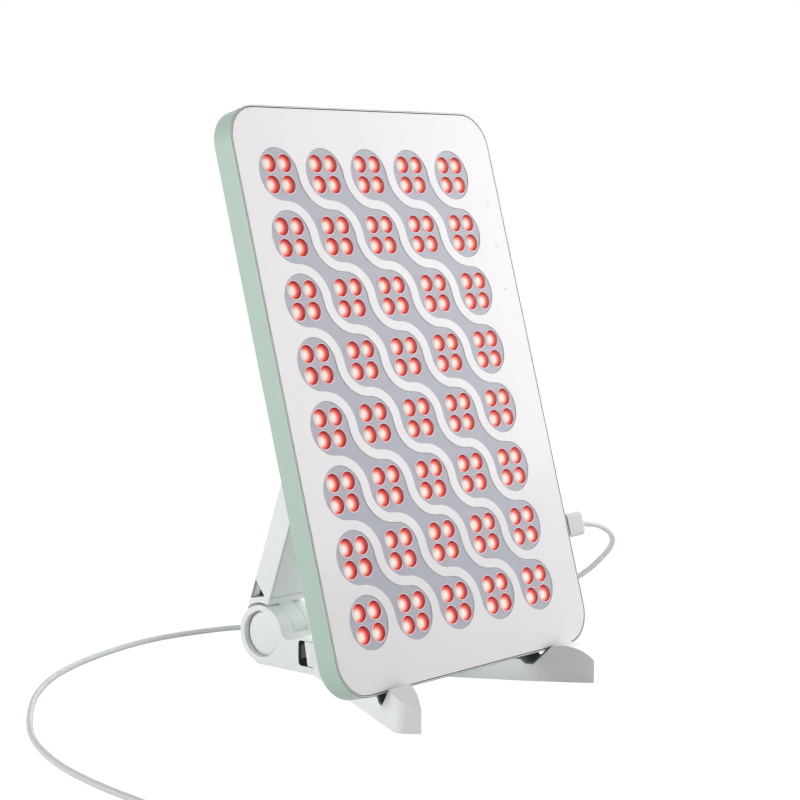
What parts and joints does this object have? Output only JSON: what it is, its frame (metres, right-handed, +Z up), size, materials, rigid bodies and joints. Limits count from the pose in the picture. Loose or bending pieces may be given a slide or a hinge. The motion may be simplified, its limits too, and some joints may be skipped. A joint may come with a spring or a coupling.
{
  "type": "light therapy lamp",
  "caption": "Slim upright panel of red lens clusters for light therapy that rests on a folding V-shaped stand with a hinged rear arm and has a low-voltage lead with a wall adapter.",
  "frame": {"origin": "on the floor, midway between the tips of the legs and the back of the hinge barrel, in the plane that halves the stand; the lead, its coil and the adapter do not count", "axes": "+Z up; the lit face looks towards -Y and leans back towards +Y; +X to the right as seen from in front of the lit face"},
  "size_m": [0.5344, 0.361, 0.3092],
  "materials": {
    "mint_shell": "satin",
    "pearl_face": "satin",
    "white_plastic": "satin",
    "red_lens": "polished",
    "circuit_board": "matte",
    "aluminium": "brushed",
    "steel": "brushed",
    "brass": "polished",
    "black_plastic": "matte",
    "rubber": "matte",
    "cable": "matte"
  },
  "bodies": {
    "base": {"base_block": "white_plastic", "hinge_axle": "steel", "hinge_cap_left": "white_plastic", "hinge_cap_right": "white_plastic", "friction_washer_left": "steel", "friction_washer_right": "steel", "leg_pin_left": "steel", "leg_pin_right": "steel", "rear_foot_left": "rubber", "rear_foot_right": "rubber", "cord_lead": "cable", "cord_coil": "cable", "coil_tie": "rubber", "cord_tail": "cable", "adapter_relief": "cable", "adapter_body": "white_plastic", "adapter_blade_left": "brass", "adapter_blade_right": "brass"},
    "leg_left": {"leg_left": "white_plastic", "notch_pad_left": "rubber", "leg_foot_left": "rubber"},
    "leg_right": {"leg_right": "white_plastic", "notch_pad_right": "rubber", "leg_foot_right": "rubber"},
    "arm": {"arm_shell": "white_plastic", "arm_cover": "white_plastic", "arm_head_pad": "rubber"},
    "panel": {"rear_shell": "mint_shell", "face_plate": "pearl_face", "lens_strip_01": "red_lens", "lens_strip_02": "red_lens", "lens_strip_03": "red_lens", "lens_strip_04": "red_lens", "lens_strip_05": "red_lens", "lens_strip_06": "red_lens", "lens_strip_07": "red_lens", "lens_strip_08": "red_lens", "lens_strip_09": "red_lens", "lens_strip_10": "red_lens", "lens_strip_11": "red_lens", "lens_strip_12": "red_lens", "led_board": "circuit_board", "touch_sensor_1": "brass", "touch_sensor_2": "brass", "touch_sensor_3": "brass", "heat_spreader": "aluminium", "driver_board": "circuit_board", "dc_socket": "black_plastic", "rear_screw_1": "steel", "rear_screw_2": "steel", "rear_screw_3": "steel", "rear_screw_4": "steel", "lead_plug": "cable", "lead_plug_tip": "brass"}
  },
  "joints": [
    {"name": "panel_lift_off", "type": "slide", "parent": "base", "child": "panel", "axis": [0, -0.5, 0.866], "range_m": [0, 0.3]},
    {"name": "leg_left_fold", "type": "hinge", "parent": "base", "child": "leg_left", "pos_m": [-0.008, 0.03374, 0.01], "axis": [0, 0, 1], "range_deg": [0, 28.7]},
    {"name": "leg_right_fold", "type": "hinge", "parent": "base", "child": "leg_right", "pos_m": [0.008, 0.03374, 0.01], "axis": [0, 0, -1], "range_deg": [0, 28.7]},
    {"name": "arm_fold", "type": "hinge", "parent": "base", "child": "arm", "pos_m": [0, 0.07574, 0.0177], "axis": [1, 0, 0], "range_deg": [0, 64.1]}
  ],
  "couplings": [
    {"joint": "leg_left_fold", "follows": "panel_lift_off", "rad_per_m": 1.6639},
    {"joint": "leg_right_fold", "follows": "panel_lift_off", "rad_per_m": 1.6639},
    {"joint": "arm_fold", "follows": "panel_lift_off", "rad_per_m": 3.7234}
  ]
}
